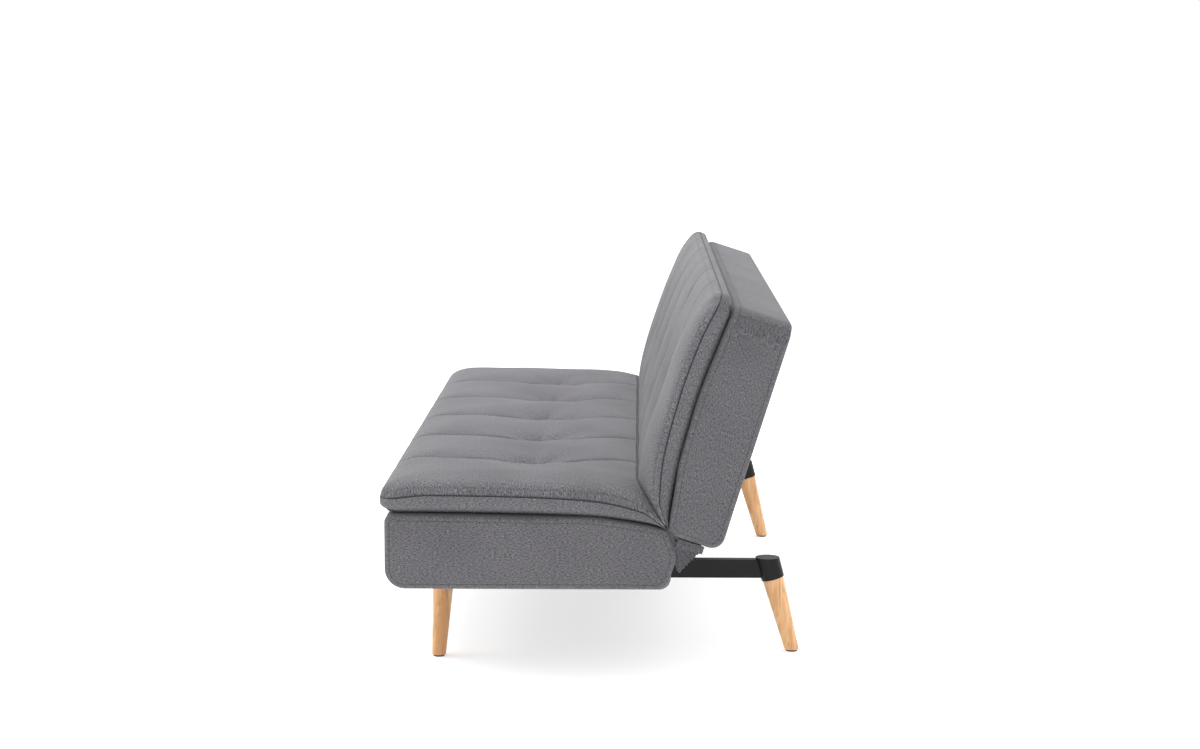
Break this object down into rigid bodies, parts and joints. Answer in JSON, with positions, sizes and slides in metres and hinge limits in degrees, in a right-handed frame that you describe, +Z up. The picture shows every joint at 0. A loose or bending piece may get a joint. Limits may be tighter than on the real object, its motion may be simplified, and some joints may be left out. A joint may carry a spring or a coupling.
{
  "type": "futon sofa bed",
  "caption": "Upholstered click-clack sofa bed: channelled seat and backrest that folds flat on ratchet hinges, steel base bars and splayed wooden legs.",
  "frame": {"origin": "on the floor, under the centre of the sofa's box with the backrest up", "axes": "+X along the length towards the sitter's left, -Y towards the front, +Z up"},
  "size_m": [1.8, 0.875, 0.8082],
  "materials": {
    "cover_fabric": "matte",
    "topper_fabric": "matte",
    "fold_fabric": "matte",
    "dust_cloth": "matte",
    "foam": "matte",
    "fibre_fill": "matte",
    "frame_pine": "matte",
    "leg_wood": "satin",
    "black_steel": "satin",
    "zinc_steel": "satin",
    "hinge_steel": "satin",
    "spring_steel": "satin",
    "glide_plastic": "matte"
  },
  "bodies": {
    "base": {"seat_cover": "cover_fabric", "seat_topper_cover": "topper_fabric", "gusset_left": "fold_fabric", "gusset_right": "fold_fabric", "rear_gap_strip": "fold_fabric", "crease_strip": "fold_fabric", "seat_dust_cover": "dust_cloth", "seat_foam": "foam", "seat_topper_fill": "fibre_fill", "seat_front_rail": "frame_pine", "seat_rear_rail": "frame_pine", "seat_side_rail_left": "frame_pine", "seat_side_rail_right": "frame_pine", "seat_cross_rails": "frame_pine", "leg_front_left": "leg_wood", "leg_front_right": "leg_wood", "leg_rear_left": "leg_wood", "leg_rear_right": "leg_wood", "base_bar_left": "black_steel", "base_bar_right": "black_steel", "seat_frame_screws": "zinc_steel", "leg_bolts": "zinc_steel", "bar_bolts": "zinc_steel", "hinge_pin_left": "zinc_steel", "hinge_pin_right": "zinc_steel", "pawl_pins": "zinc_steel", "seat_bracket_screws": "zinc_steel", "hinge_seat_bracket_left": "hinge_steel", "hinge_seat_bracket_right": "hinge_steel", "seat_springs": "spring_steel", "seat_spring_clips": "spring_steel", "foot_glides": "glide_plastic"},
    "backrest": {"back_top_rail": "frame_pine", "back_bottom_rail": "frame_pine", "back_side_rail_left": "frame_pine", "back_side_rail_right": "frame_pine", "back_cross_rails": "frame_pine", "back_frame_screws": "zinc_steel", "back_springs": "spring_steel", "back_spring_clips": "spring_steel", "back_foam": "foam", "back_wadding": "fibre_fill", "back_cover": "cover_fabric", "back_topper_fill": "fibre_fill", "back_topper_cover": "topper_fabric", "hinge_back_arm_left": "hinge_steel", "hinge_back_arm_right": "hinge_steel", "back_arm_screws": "zinc_steel"},
    "pawl_left": {"pawl_left": "hinge_steel"},
    "pawl_right": {"pawl_right": "hinge_steel"}
  },
  "joints": [
    {"name": "backrest_recline", "type": "hinge", "parent": "base", "child": "backrest", "pos_m": [0, 0.166, 0.3015], "axis": [-1, 0, 0], "range_deg": [-10, 72], "deforming": ["gusset_left", "gusset_right", "rear_gap_strip", "crease_strip"]},
    {"name": "pawl_left_swing", "type": "hinge", "parent": "base", "child": "pawl_left", "pos_m": [0.8415, 0.104, 0.282], "axis": [-1, 0, 0], "range_deg": [0, 10], "stiffness_Nm_per_rad": 0.5, "springref_deg": -11.46},
    {"name": "pawl_right_swing", "type": "hinge", "parent": "base", "child": "pawl_right", "pos_m": [-0.8415, 0.104, 0.282], "axis": [-1, 0, 0], "range_deg": [0, 10], "stiffness_Nm_per_rad": 0.5, "springref_deg": -11.46}
  ]
}
